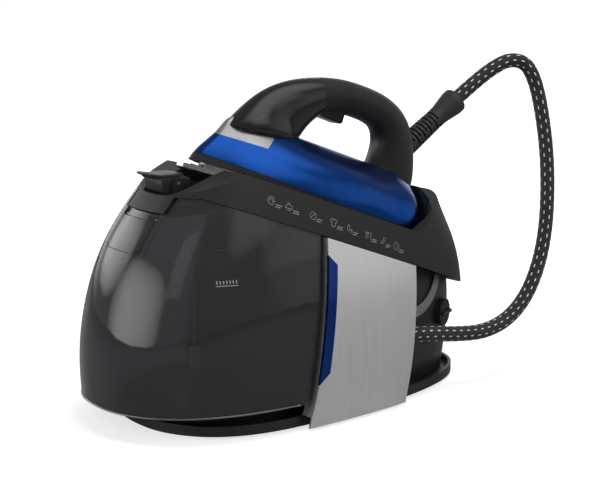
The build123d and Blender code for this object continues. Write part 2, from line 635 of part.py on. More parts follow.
def top_fitting(x, y, radius, height):
    """Fitting screwed onto the boiler's top, standing on a small boss."""
    foot = BOILER_Z + math.sqrt(BOILER_R ** 2 - y ** 2)
    body = rod((x, y, foot - 3), (x, y, foot + height), radius)
    return body - Pos(BOILER_X, 0, BOILER_Z) * Rotation(0, 90, 0) * Cylinder(BOILER_R + FIT, BOILER_LENGTH)


def steam_valve():
    body = top_fitting(-58, 0, 8, 10)
    coil = slab(-70, -46, -12, 12, BOILER_Z + BOILER_R + 8, BOILER_Z + BOILER_R + 24)
    return body + coil


def safety_valve():
    return top_fitting(-92, 12, 5.5, 14) + top_fitting(-92, 12, 8, 6)


def boiler_thermostat():
    return top_fitting(-118, -6, 9, 7)


def pump_bar(radius, length):
    return Pos(PUMP_X, SOCKET_Y, SOCKET_Z) * Rotation(0, 90, 0) * Cylinder(radius, length)


def pump():
    body = pump_bar(PUMP_R, PUMP_LENGTH * 0.55) + pump_bar(6, PUMP_LENGTH)
    return body + rod((PUMP_X, SOCKET_Y, SOCKET_Z), (PUMP_X, SOCKET_Y, SOCKET_Z + PUMP_R + 9), TUBE_R)


def pump_mounts():
    mounts = []
    for x in (PUMP_X - 9, PUMP_X + 9):
        block = slab(x - 4, x + 4, SOCKET_Y - 12, SOCKET_Y + 12, CORE_LOW_Z, SOCKET_Z)
        mounts.append(block - pump_bar(PUMP_R + FIT, PUMP_LENGTH))
    return mounts


def inlet_tube():
    start, end = PUMP_X + PUMP_LENGTH / 2 + FIT, SOCKET_X - 14 - FIT
    body = rod((start, SOCKET_Y, SOCKET_Z), (end, SOCKET_Y, SOCKET_Z), TUBE_R)
    return body - rod((start - 5, SOCKET_Y, SOCKET_Z), (end + 5, SOCKET_Y, SOCKET_Z), TUBE_BORE_R)


def feed_tube():
    top = SOCKET_Z + PUMP_R + 9 + FIT
    front = BOILER_X + BOILER_LENGTH / 2 + FIT
    points = [(PUMP_X, SOCKET_Y, top), (PUMP_X, SOCKET_Y, top + 16), (-2, -36, top + 22),
              (0, -20, top + 10), (0, -20, 46), (front, -20, 46)]
    return tube(points, TUBE_R, TUBE_BORE_R)[0]


def steam_tube():
    gland_x = GLAND_X + GLAND_SIZE / 2
    level_z = BOILER_Z + BOILER_R + 16
    end = skin_half(gland_x, GLAND_Z, CORE_INSET, CORE_REAR_INSET) - 1
    points = [(-58, 12 + FIT, level_z), (-58, 28, level_z), (-46, 42, level_z - 12), (-36, 49, level_z - 28),
              (gland_x, 54, GLAND_Z), (gland_x, end, GLAND_Z)]
    return tube(points, TUBE_R, TUBE_BORE_R)[0]


def tank_socket():
    x = SOCKET_X
    body = rod((x - 14, SOCKET_Y, SOCKET_Z), (x - SEAM, SOCKET_Y, SOCKET_Z), SOCKET_R)
    body += rod((x - 8.6, SOCKET_Y, SOCKET_Z), (x - 5.6, SOCKET_Y, SOCKET_Z), SOCKET_R + 3)
    return body - rod((x - 20, SOCKET_Y, SOCKET_Z), (x + 20, SOCKET_Y, SOCKET_Z), 3.2)


def control_board():
    board = slab(BOARD_REAR, BOARD_FRONT, BOARD_Y, BOARD_Y + BOARD_THICK, 20, 92)
    parts = [slab(-20, -6, BOARD_Y - 7, BOARD_Y, 28, 46), slab(2, 20, BOARD_Y - 10, BOARD_Y, 30, 44),
             slab(-8, 8, BOARD_Y - 5, BOARD_Y, 60, 80)]
    return [board + parts[0] + parts[1] + parts[2]]


def board_rails():
    slot = slab(BOARD_REAR - FIT, BOARD_FRONT + FIT, BOARD_Y - FIT, BOARD_Y + BOARD_THICK + FIT, 20 - FIT, 92)
    rails = []
    for x in (BOARD_REAR + 4, BOARD_FRONT - 4):
        rails.append(slab(x - 3.5, x + 3.5, BOARD_Y - 4, BOARD_Y + 6, CORE_LOW_Z, 24) - slot)
    return rails


def mains_grommet():
    body = rod((INLET_X - 7, INLET_Y, INLET_Z), (INLET_X + 12, INLET_Y, INLET_Z), INLET_R)
    flange = rod((INLET_X - 9.6, INLET_Y, INLET_Z), (INLET_X - 6.4, INLET_Y, INLET_Z), INLET_R + 2.5)
    return body + flange - rod((INLET_X - 20, INLET_Y, INLET_Z), (INLET_X + 40, INLET_Y, INLET_Z), 3.6)


def rest_pads():
    pads = []
    for back in (62.0, 196.0):
        for side in (-1, 1):
            pad = Pos(-back, side * 26, -TRAY_UNDER_SOLE / 2 - SOFT / 2) * Box(26, 14, TRAY_UNDER_SOLE - SOFT)
            pads.append(REST * pad)
    return pads


BUTTON_BACK, BUTTON_UNDER, BUTTON_R = 150.0, 15.0, 4.6
BUTTON_SPOT = rest_point(BUTTON_BACK, 0, -BUTTON_UNDER)
BUTTON_Y = -skin_half(BUTTON_SPOT[0], BUTTON_SPOT[2])


def button_bar(radius, start, end):
    return REST * rod((-BUTTON_BACK, BUTTON_Y + start, -BUTTON_UNDER), (-BUTTON_BACK, BUTTON_Y + end, -BUTTON_UNDER), radius)


def power_button():
    return button_bar(BUTTON_R, -1.6, 6.5)


def power_switch():
    return REST * Pos(-BUTTON_BACK, BUTTON_Y + 15, -BUTTON_UNDER) * Box(14, 13, 9.6)


# ---------------------------------------------------------------- the iron
HULL_SOLID = iron_hull()
HULL_SPACE = iron_hull(IRON_WALL)
HANDLE_SOLID = handle_hull()
HANDLE_SPACE = handle_hull(-HANDLE_WALL)
HANDLE_ROOM = handle_hull(FIT + 0.1)
PARTING = Plane(origin=(-PART_BACK, 0, PART_UP), x_dir=(0, 1, 0),
                z_dir=(math.sin(math.radians(PART_TURN)), 0, -math.cos(math.radians(PART_TURN))))


def soleplate():
    edge = iron_outline(0, SOLE_LENGTH, SOLE_HALF, SOLE_EDGE)
    body = extrude(edge, SOLE_THICK - SOLE_EDGE)
    body += loft([iron_outline(SOLE_EDGE, SOLE_LENGTH - SOLE_EDGE, SOLE_HALF - SOLE_EDGE, 0), edge], ruled=True)
    for back in range(30, 211, 18):
        width = SOLE_HALF * min(1.0, (back / 120.0) ** 0.7) - 14
        for side in (-1, 1):
            if width > 4:
                body -= Pos(-back, side * width, 0.6) * Cylinder(1.6, 1.2)
    return body


CHAMBER_TOP = 14.7
ELEMENT_R, ELEMENT_UP = 3.2, 10.6
INLET_BACK = 212.0
SHIELD_SCREWS = [(44.0, 0.0), (190.0, 30.0), (190.0, -30.0)]


def steam_chamber():
    low = SOLE_THICK + FIT
    body = extrude(iron_outline(22, SOLE_LENGTH - 12, SOLE_HALF - 11, low), CHAMBER_TOP - low)
    body += rod((-INLET_BACK, 0, low), (-INLET_BACK, 0, SKIRT_TOP + 2), 5)
    body -= tube(ELEMENT_ROUTE, ELEMENT_R + FIT)[0]
    for back, side in SHIELD_SCREWS:
        body -= rod((-back, side, CHAMBER_TOP - 6), (-back, side, CHAMBER_TOP + 1), SCREW_R + FIT / 2)
    return body


ELEMENT_ROUTE = [(-62, 12, ELEMENT_UP), (-110, 20, ELEMENT_UP), (-158, 20, ELEMENT_UP), (-176, 12, ELEMENT_UP),
                 (-182, 0, ELEMENT_UP), (-176, -12, ELEMENT_UP), (-158, -20, ELEMENT_UP), (-110, -20, ELEMENT_UP),
                 (-62, -12, ELEMENT_UP)]


def iron_element():
    return tube(ELEMENT_ROUTE, ELEMENT_R)[0]


# the shell's lower edge comes down towards the rear
SKIRT_EDGE = Plane(origin=(-10, 0, SKIRT_TOP), x_dir=(1, 0, SKIRT_FALL), z_dir=(-SKIRT_FALL, 0, 1))


def skirt():
    """Dark heat shield: a ring under the blue shell with a deck over the steam chamber."""
    body = HULL_SOLID & slab(-HEEL_BACK + SEAM, BIG, -BIG, BIG, SKIRT_LOW - 1, SKIRT_TOP)
    body -= (body - iron_hull(IRON_WALL + SEAM)) & above(SKIRT_EDGE)
    body -= HULL_SPACE & below(level(CHAMBER_TOP + SOFT))
    body -= rod((-INLET_BACK, 0, 0), (-INLET_BACK, 0, 40), 5 + SOFT)
    for back, side in SHIELD_SCREWS:
        body -= rod((-back, side, 0), (-back, side, 40), SCREW_R + FIT)
    return body


def shield_screws():
    screws = []
    for back, side in SHIELD_SCREWS:
        shank = rod((-back, side, CHAMBER_TOP - 5), (-back, side, SKIRT_TOP + 1), SCREW_R)
        screws.append(shank + rod((-back, side, SKIRT_TOP + 0.05), (-back, side, SKIRT_TOP + 2), SCREW_HEAD_R))
    return screws


def iron_thermostat():
    return rod((-130, 0, SKIRT_TOP + FIT), (-130, 0, SKIRT_TOP + 9), 9)


def iron_tube():
    points = [(-INLET_BACK, 0, SKIRT_TOP + 2 + FIT), (-INLET_BACK, 0, 38), (-222.5, 0, 59.8), relief_point(-14.1)]
    return tube(points, TUBE_R, TUBE_BORE_R)[0]


def front_bracket():
    """Small bracket on the soleplate's tip, with a pin up to the heat shield."""
    foot = slab(-20.6, -9, -5, 5, SOLE_THICK + FIT, SOLE_THICK + 1.3)
    return foot + slab(-20, -17, -5, 5, SOLE_THICK + FIT, SOLE_THICK + 3.2)


def nose_cut(gap):
    """The nose's top, in front of a slanted line on each side."""
    back = Plane(origin=(-TRIM_BACK, 0, TRIM_TOP), x_dir=(0, 1, 0), z_dir=(0.8, 0, 0.6))
    return slab(-BIG / 2, BIG / 2, -BIG / 2, BIG / 2, TRIM_LOW - gap, BIG / 2) & above(back, -gap)


def blue_shell():
    body = HULL_SOLID - (HULL_SPACE & below(level(BLUE_TOP - 3))) - HANDLE_ROOM
    body &= slab(-HEEL_BACK + SEAM, BIG, -BIG, BIG, SKIRT_LOW - 1, BLUE_TOP + 1) & above(SKIRT_EDGE, SEAM)
    body -= nose_cut(0.2)
    return max(body.solids(), key=lambda piece: piece.volume)


def nose_trim():
    body = (HULL_SOLID - HULL_SPACE - HANDLE_ROOM) & nose_cut(0)
    return max(body.solids(), key=lambda piece: piece.volume)


def heel_cover():
    body = (HULL_SOLID - HULL_SPACE - HANDLE_ROOM) & slab(-BIG, -HEEL_BACK, -BIG, BIG, SKIRT_LOW, BLUE_TOP - 6)
    swell = HEEL_CLEAR - HEEL_GAP
    body &= iron_clearance(-SEAM, HULL[0][2] + swell, HULL[0][3] + swell, -1, 120)
    return max(body.solids(), key=lambda piece: piece.volume)


def handle_shell():
    shell = HANDLE_SOLID - HANDLE_SPACE
    shell -= trigger_slot()
    shell -= relief_rod(RELIEF_R + FIT, -20, 30)
    return shell


def trigger_slot():
    return Pos(-TRIGGER_BACK - TRIGGER_LENGTH / 2, 0, 92) * Box(TRIGGER_LENGTH + 3, TRIGGER_WIDTH + 2, 24)


def relief_point(along, across=0.0):
    turn = math.radians(RELIEF_TURN)
    return (-RELIEF_BACK - along * math.cos(turn) , across, RELIEF_UP + along * math.sin(turn))


def relief_rod(radius, start, end):
    return rod(relief_point(start), relief_point(end), radius)


def handle_front():
    body = handle_shell() & above(PARTING, 0.1)
    body -= Pos(-LENS_BACK, 0, BIG / 2 + 100) * Cylinder(LENS_R + FIT, BIG)
    return max(body.solids(), key=lambda piece: piece.volume)


def handle_grip():
    body = handle_shell() & below(PARTING, 0.1)
    return max(body.solids(), key=lambda piece: piece.volume)


def trigger():
    low = 92 - TRIGGER_DEPTH
    body = slab(-TRIGGER_BACK - TRIGGER_LENGTH, -TRIGGER_BACK, -TRIGGER_WIDTH / 2, TRIGGER_WIDTH / 2, low + 2, 104)
    body = fillet(body.edges().filter_by(Axis.Y), 3.0)
    return body - trigger_pin(1.6)


def trigger_pin(radius):
    x, z = TRIGGER_AXIS
    reach = TRIGGER_WIDTH / 2 + 4.4
    return rod((x, -reach, z), (x, reach, z), radius)


def trigger_switch():
    box = slab(-TRIGGER_BACK - 26, -TRIGGER_BACK - 12, -5, 5, 107.5, 140)
    return box & handle_hull(-HANDLE_WALL - SOFT)


def indicator_lens():
    column = Pos(-LENS_BACK, 0, 130) * Cylinder(LENS_R, 60)
    return column & (handle_hull(-0.4) - handle_hull(-HANDLE_WALL))


TRIGGER_AXIS = (-TRIGGER_BACK - 4, 101.0)


def strain_relief():
    """Tapered boot with staggered slots, then a smooth flared collar."""
    turn = math.radians(RELIEF_TURN)
    plane = Plane(origin=relief_point(0), x_dir=(0, 1, 0), z_dir=(-math.cos(turn), 0, math.sin(turn)))
    rows = [(-14, RELIEF_R - 3), (0, RELIEF_R), (40, RELIEF_R - 1.2), (50, RELIEF_R - 1.0),
            (RELIEF_LENGTH - 6, RELIEF_COLLAR_R), (RELIEF_LENGTH, RELIEF_COLLAR_R)]
    profile = Polyline(*[(r, z) for z, r in rows], (0, RELIEF_LENGTH), (0, -14), close=True)
    body = plane * revolve(Plane.XZ * make_face(profile), Axis.Z)
    for i in range(RELIEF_RIBS):
        z = 3 + i * 4.6
        cutter = Pos(0, 0, z) * (Cylinder(RELIEF_R + 1, 2.0) - Cylinder(RELIEF_R - 3.4, 2.0))
        keep = Box(5, 60, 3) if i % 2 else Box(60, 5, 3)
        body -= plane * (cutter - Pos(0, 0, z) * keep)
    return body


def seat(*shapes):
    """Move pieces from the iron's own frame to where it rests on the station."""
    return [REST * shape for shape in shapes]


def rest_place(point):
    x, y, z = point
    return rest_point(-x, y, z)


def steam_hose():
    first = rest_place(relief_point(RELIEF_LENGTH))
    second = rest_place(relief_point(RELIEF_LENGTH + HOSE_STRAIGHT))
    last = GLAND_X - GLAND_NOSE
    points = [first, second] + HOSE_ROUTE + [(last - HOSE_STRAIGHT, GLAND_Y, GLAND_Z), (last, GLAND_Y, GLAND_Z)]
    solid, path, radii = tube(points, HOSE_R)
    share = solid.volume / (math.pi * HOSE_R ** 2 * path.length)
    print("hose radii", [round(r, 1) for r in radii], "length", round(path.length, 1), "volume share", round(share, 4))
    return solid


STATION_NODES = {
    "base_plate": lambda: [base_plate()],
    "rubber_feet": rubber_feet,
    "base_screws": base_screws,
    "inner_casing": lambda: [inner_casing()],
    "upper_casing": lambda: [upper_casing()],
    "rest_pads": rest_pads,
    "side_panel_left": lambda: [side_panel(1)],
    "side_panel_right": lambda: [side_panel(-1)],
    "accent_strip_left": lambda: [accent_strip(1)],
    "accent_strip_right": lambda: [accent_strip(-1)],
    "arc_trim": lambda: [arc_trim()],
    "drain_cap": lambda: [drain_cap()],
    "drain_pipe": lambda: [drain_pipe()],
    "hose_gland": lambda: [hose_gland()],
    "boiler": lambda: [boiler()],
    "boiler_heater": lambda: [boiler_heater()],
    "boiler_thermostat": lambda: [boiler_thermostat()],
    "steam_valve": lambda: [steam_valve()],
    "safety_valve": lambda: [safety_valve()],
    "pump": lambda: [pump()],
    "pump_mounts": pump_mounts,
    "inlet_tube": lambda: [inlet_tube()],
    "feed_tube": lambda: [feed_tube()],
    "steam_tube": lambda: [steam_tube()],
    "tank_socket": lambda: [tank_socket()],
    "control_board": control_board,
    "board_rails": board_rails,
    "mains_grommet": lambda: [mains_grommet()],
    "power_button": lambda: [power_button()],
    "power_switch": lambda: [power_switch()],
    "latch": lambda: [latch()],
    "latch_pin": lambda: [latch_pin(LATCH_PIN_R)],
    "tank_shell": lambda: [tank_shell()],
    "tank_valve": lambda: [tank_valve()],
    "tank_flap": lambda: [tank_flap()],
    "flap_pin": lambda: [flap_pin()],
    "steam_hose": lambda: [steam_hose()],
}
# the iron's pieces are made in its own frame and moved to where it rests
IRON_NODES = {
    "soleplate": lambda: [soleplate()],
    "steam_chamber": lambda: [steam_chamber()],
    "iron_element": lambda: [iron_element()],
    "iron_thermostat": lambda: [iron_thermostat()],
    "iron_tube": lambda: [iron_tube()],
    "heat_shield": lambda: [skirt()],
    "shield_screws": shield_screws,
    "front_bracket": lambda: [front_bracket()],
    "blue_shell": lambda: [blue_shell()],
    "nose_trim": lambda: [nose_trim()],
    "heel_cover": lambda: [heel_cover()],
    "handle_front": lambda: [handle_front()],
    "handle_grip": lambda: [handle_grip()],
    "indicator_lens": lambda: [indicator_lens()],
    "trigger": lambda: [trigger()],
    "trigger_pin": lambda: [trigger_pin(1.5)],
    "trigger_switch": lambda: [trigger_switch()],
    "strain_relief": lambda: [strain_relief()],
}

for node, make in IRON_NODES.items():
    save(node, *seat(*make()))
for node, make in STATION_NODES.items():
    save(node, *make())
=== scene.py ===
import bpy
import bmesh
import json
import math
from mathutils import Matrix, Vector
from mathutils.bvhtree import BVHTree


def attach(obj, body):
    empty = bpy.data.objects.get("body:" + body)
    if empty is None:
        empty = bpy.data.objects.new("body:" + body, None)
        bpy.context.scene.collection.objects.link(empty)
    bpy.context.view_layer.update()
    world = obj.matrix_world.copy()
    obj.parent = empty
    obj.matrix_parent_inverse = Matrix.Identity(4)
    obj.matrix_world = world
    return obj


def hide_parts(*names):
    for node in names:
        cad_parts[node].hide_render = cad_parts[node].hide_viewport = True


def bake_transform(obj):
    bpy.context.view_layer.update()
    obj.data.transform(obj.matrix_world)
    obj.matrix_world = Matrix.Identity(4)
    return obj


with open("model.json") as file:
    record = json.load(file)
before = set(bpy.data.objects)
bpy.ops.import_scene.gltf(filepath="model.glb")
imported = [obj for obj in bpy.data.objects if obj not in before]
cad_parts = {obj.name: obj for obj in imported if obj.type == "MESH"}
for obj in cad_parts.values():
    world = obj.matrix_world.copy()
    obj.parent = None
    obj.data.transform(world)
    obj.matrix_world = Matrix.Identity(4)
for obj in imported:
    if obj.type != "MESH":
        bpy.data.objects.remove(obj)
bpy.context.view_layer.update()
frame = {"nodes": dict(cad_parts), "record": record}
nodes = frame["nodes"]
scene = bpy.context.scene

# ---------------------------------------------------------------- sizes (m)
TILT = math.radians(20)                 # the iron lies nose up by this
TIP = Vector((0.114, 0, 0.225))         # underside of the soleplate's tip
HOSE_RADIUS = 0.0073
HOSE_EXIT = (-0.048, 0.085, 0.063)      # nose of the gland
RELIEF_END = (-0.2104, 0, 0.2667)
# the hose's middle line, from the strain relief to the gland
HOSE_ROUTE = [
    RELIEF_END, (-0.2322, 0, 0.2808), (-0.259, 0.002, 0.297), (-0.280, 0.006, 0.306),
    (-0.298, 0.012, 0.302), (-0.306, 0.018, 0.283), (-0.308, 0.026, 0.254), (-0.307, 0.036, 0.213),
    (-0.301, 0.045, 0.172), (-0.290, 0.054, 0.134), (-0.273, 0.062, 0.100), (-0.248, 0.069, 0.071),
    (-0.216, 0.075, 0.054), (-0.180, 0.080, 0.049), (-0.143, 0.0825, 0.053), (-0.109, 0.084, 0.059),
    (-0.074, 0.085, 0.063), HOSE_EXIT,
]
HOSE_STEP, HOSE_SIDES = 0.004, 28
SHARP_ANGLE, LATCH_SHARP_ANGLE = math.radians(32), math.radians(40)


# ---------------------------------------------------------------- camera
PICTURE_WIDTH, PICTURE_HEIGHT = 600, 480        # pixels
FOCAL = 1350.0                                  # pixels
SENSOR_WIDTH = 36.0                             # mm
VIEW_TURN, VIEW_RISE, VIEW_DISTANCE = math.radians(57), math.radians(17.5), 1.25
VIEW_TARGET = Vector((0.068, 0, 0))
TARGET_COLUMN, TARGET_ROW = 222, 405            # pixel on which the target falls


def add_camera():
    level = math.cos(VIEW_RISE)
    forward = Vector((-math.cos(VIEW_TURN) * level, -math.sin(VIEW_TURN) * level, -math.sin(VIEW_RISE)))
    right = Vector((-math.sin(VIEW_TURN), math.cos(VIEW_TURN), 0))
    upward = right.cross(forward)
    data = bpy.data.cameras.new("camera")
    data.sensor_width = SENSOR_WIDTH
    data.lens = FOCAL / PICTURE_WIDTH * SENSOR_WIDTH
    camera = bpy.data.objects.new("camera", data)
    camera.location = VIEW_TARGET - forward * VIEW_DISTANCE
    off_right = (TARGET_COLUMN - PICTURE_WIDTH / 2) / FOCAL
    off_down = (TARGET_ROW - PICTURE_HEIGHT / 2) / FOCAL
    aim = forward - right * off_right + upward * off_down
    camera.rotation_euler = aim.to_track_quat("-Z", "Y").to_euler()
    scene.collection.objects.link(camera)
    scene.camera = camera


add_camera()


# ---------------------------------------------------------------- node helpers
MIX_FACTOR, MIX_A, MIX_B, MIX_RESULT = 0, 6, 7, 2       # colour sockets of the mix node


def new_group(name, inputs, outputs):
    """A node group with the named sockets, and its input and output nodes."""
    tree = bpy.data.node_groups.new(name, "ShaderNodeTree")
    for kind, label, value in inputs:
        item = tree.interface.new_socket(name=label, in_out="INPUT", socket_type="NodeSocket" + kind)
        item.default_value = value
    for kind, label in outputs:
        tree.interface.new_socket(name=label, in_out="OUTPUT", socket_type="NodeSocket" + kind)
    return tree, tree.nodes.new("NodeGroupInput"), tree.nodes.new("NodeGroupOutput")


def feed(tree, target, value):
    """Sets a socket to a constant, or links it to another node's output."""
    if isinstance(value, (int, float, tuple)):
        target.default_value = value
    else:
        tree.links.new(value, target)


def math_node(tree, operation, a, b=None, clamp=False):
    node = tree.nodes.new("ShaderNodeMath")
    node.operation = operation
    node.use_clamp = clamp
    feed(tree, node.inputs[0], a)
    if b is not None:
        feed(tree, node.inputs[1], b)
    return node.outputs[0]


def vector_node(tree, operation, vector):
    node = tree.nodes.new("ShaderNodeVectorMath")
    node.operation = operation
    tree.links.new(vector, node.inputs[0])
    return node


def mix_color(tree, factor, a, b):
    node = tree.nodes.new("ShaderNodeMix")
    node.data_type = "RGBA"
    feed(tree, node.inputs[MIX_FACTOR], factor)
    feed(tree, node.inputs[MIX_A], a)
    feed(tree, node.inputs[MIX_B], b)
    return node.outputs[MIX_RESULT]


def scaled(tree, color, factor):
    """The colour times a factor."""
    node = vector_node(tree, "SCALE", color)
    tree.links.new(factor, node.inputs["Scale"])
    return node.outputs[0]


def swung(tree, value, amount):
    """A value from 0 to 1 as a change about zero."""
    return math_node(tree, "MULTIPLY", math_node(tree, "SUBTRACT", value, 0.5), amount)


def placed(tree, stretch):
    """Object position, stretched along the axes."""
    coords = tree.nodes.new("ShaderNodeTexCoord")
    mapping = tree.nodes.new("ShaderNodeMapping")
    mapping.inputs["Scale"].default_value = stretch
    tree.links.new(coords.outputs["Object"], mapping.inputs["Vector"])
    return mapping.outputs["Vector"]


def noise(tree, vector, scale, detail):
    node = tree.nodes.new("ShaderNodeTexNoise")
    tree.links.new(vector, node.inputs["Vector"])
    feed(tree, node.inputs["Scale"], scale)
    node.inputs["Detail"].default_value = detail
    return node.outputs["Fac"]


# ---------------------------------------------------------------- shared effects
def moulded_group():
    """Fine moulded texture: slight change of tone and gloss, and a height for bump."""
    tree, start, end = new_group("moulded_texture", [
        ("Color", "Tone", (0.05, 0.05, 0.05, 1)), ("Float", "Grain Scale", 1800.0),
        ("Float", "Tone Change", 0.12), ("Float", "Roughness", 0.5), ("Float", "Roughness Change", 0.06)],
        [("Color", "Color"), ("Float", "Roughness"), ("Float", "Height")])
    vector = placed(tree, (1, 1, 1))
    grain = noise(tree, vector, start.outputs["Grain Scale"], detail=2.0)
    cloud = noise(tree, vector, scale=22.0, detail=4.0)
    level = math_node(tree, "ADD", swung(tree, cloud, start.outputs["Tone Change"]), 1.0)
    tree.links.new(scaled(tree, start.outputs["Tone"], level), end.inputs["Color"])
    rough = swung(tree, cloud, start.outputs["Roughness Change"])
    tree.links.new(math_node(tree, "ADD", rough, start.outputs["Roughness"]), end.inputs["Roughness"])
    tree.links.new(grain, end.inputs["Height"])
    return tree


def brushed_group():
    """Grain of brushed metal that runs up and down, with long faint streaks."""
    tree, start, end = new_group("brushed_grain", [
        ("Color", "Tone", (0.6, 0.6, 0.6, 1)), ("Float", "Streak", 0.18), ("Float", "Roughness", 0.34)],
        [("Color", "Color"), ("Float", "Roughness"), ("Float", "Height")])
    fine = noise(tree, placed(tree, (900, 900, 9)), scale=1.0, detail=4.0)
    broad = noise(tree, placed(tree, (110, 110, 2.5)), scale=1.0, detail=3.0)
    both = math_node(tree, "ADD", math_node(tree, "MULTIPLY", fine, 0.6), math_node(tree, "MULTIPLY", broad, 0.4))
    swing = swung(tree, both, start.outputs["Streak"])
    tree.links.new(scaled(tree, start.outputs["Tone"], math_node(tree, "ADD", swing, 1.0)), end.inputs["Color"])
    rough = math_node(tree, "ADD", math_node(tree, "MULTIPLY", swing, 0.5), start.outputs["Roughness"])
    tree.links.new(rough, end.inputs["Roughness"])
    tree.links.new(fine, end.inputs["Height"])
    return tree


def flake_group():
    """Metallic paint: small flakes that lift the tone, and a slow change across the surface."""
    tree, start, end = new_group("metal_flake", [
        ("Color", "Deep", (0.01, 0.04, 0.2, 1)), ("Color", "Bright", (0.03, 0.15, 0.5, 1)),
        ("Float", "Flake Scale", 2600.0)], [("Color", "Color"), ("Float", "Roughness"), ("Float", "Height")])
    vector = placed(tree, (1, 1, 1))
    cell = tree.nodes.new("ShaderNodeTexVoronoi")
    tree.links.new(vector, cell.inputs["Vector"])
    tree.links.new(start.outputs["Flake Scale"], cell.inputs["Scale"])
    spark = math_node(tree, "POWER", math_node(tree, "SUBTRACT", 1.0, cell.outputs["Distance"], True), 3.0)
    cloud = noise(tree, vector, scale=16.0, detail=2.0)
    sparkle = math_node(tree, "MULTIPLY", spark, 0.5)
    factor = math_node(tree, "ADD", sparkle, math_node(tree, "MULTIPLY", cloud, 0.4), True)
    tree.links.new(mix_color(tree, factor, start.outputs["Deep"], start.outputs["Bright"]), end.inputs["Color"])
    rough = math_node(tree, "ADD", math_node(tree, "MULTIPLY", spark, 0.08), 0.24)
    tree.links.new(rough, end.inputs["Roughness"])
    tree.links.new(cell.outputs["Distance"], end.inputs["Height"])
    return tree


MOULDED, BRUSHED, FLAKE = moulded_group(), brushed_group(), flake_group()


def new_material(name, coat=0.0, metallic=0.0, specular=0.5, transmission=0.0, ior=1.46, coat_rough=0.06, sheen=0.0):
    """A material whose shader holds the constants of its finish."""
    material = bpy.data.materials.new(name)
    material.use_nodes = True
    tree = material.node_tree
    shader = tree.nodes["Principled BSDF"]
    for label, value in (("Coat Weight", coat), ("Metallic", metallic), ("Specular IOR Level", specular),
                         ("Transmission Weight", transmission), ("IOR", ior), ("Coat Roughness", coat_rough),
                         ("Sheen Weight", sheen)):
        shader.inputs[label].default_value = value
    return material, tree, shader


def add_effect(tree, shader, group, values):
    """Feeds a shared effect's colour and roughness to the shader."""
    effect = tree.nodes.new("ShaderNodeGroup")
    effect.node_tree = group
    for label, value in values.items():
        effect.inputs[label].default_value = value
    tree.links.new(effect.outputs["Color"], shader.inputs["Base Color"])
    tree.links.new(effect.outputs["Roughness"], shader.inputs["Roughness"])
    return effect


def add_relief(tree, shader, height, strength, distance):
    """Turns a height into bump on the shader."""
    relief = tree.nodes.new("ShaderNodeBump")
    relief.inputs["Strength"].default_value = strength
    relief.inputs["Distance"].default_value = distance
    tree.links.new(height, relief.inputs["Height"])
    tree.links.new(relief.outputs["Normal"], shader.inputs["Normal"])


def dress(material, tree, shader, group, values, bump, distance=0.0001):
    effect = add_effect(tree, shader, group, values)
    add_relief(tree, shader, effect.outputs["Height"], bump, distance)
    return material


def tone(r, g, b):
    return (r, g, b, 1.0)


def grey(level):
    return tone(level, level, level)


def moulded(name, color, rough, bump=0.25, grain=1800.0, change=0.12, **finish):
    material, tree, shader = new_material(name, **finish)
    values = {"Tone": color, "Grain Scale": grain, "Tone Change": change, "Roughness": rough}
    return dress(material, tree, shader, MOULDED, values, bump)


def brushed(name, color, rough, streak=0.18, bump=0.2):
    material, tree, shader = new_material(name, metallic=1.0)
    values = {"Tone": color, "Streak": streak, "Roughness": rough}
    return dress(material, tree, shader, BRUSHED, values, bump, distance=0.00005)


def flaked(name, deep, bright):
    material, tree, shader = new_material(name, coat=0.15, metallic=0.97, coat_rough=0.05)
    return dress(material, tree, shader, FLAKE, {"Deep": deep, "Bright": bright}, bump=0.04, distance=0.00002)


WEAVE_ALONG, WEAVE_AROUND = 330.0, 12.0         # yarns per metre, and once round
STITCH_ROWS, STITCH_ALONG = 8, 100.0            # rows round the hose, stitches per metre
STITCH_TURN, STITCH_HALF_WIDTH, STITCH_SHARE = 0.53, 0.012, 0.36


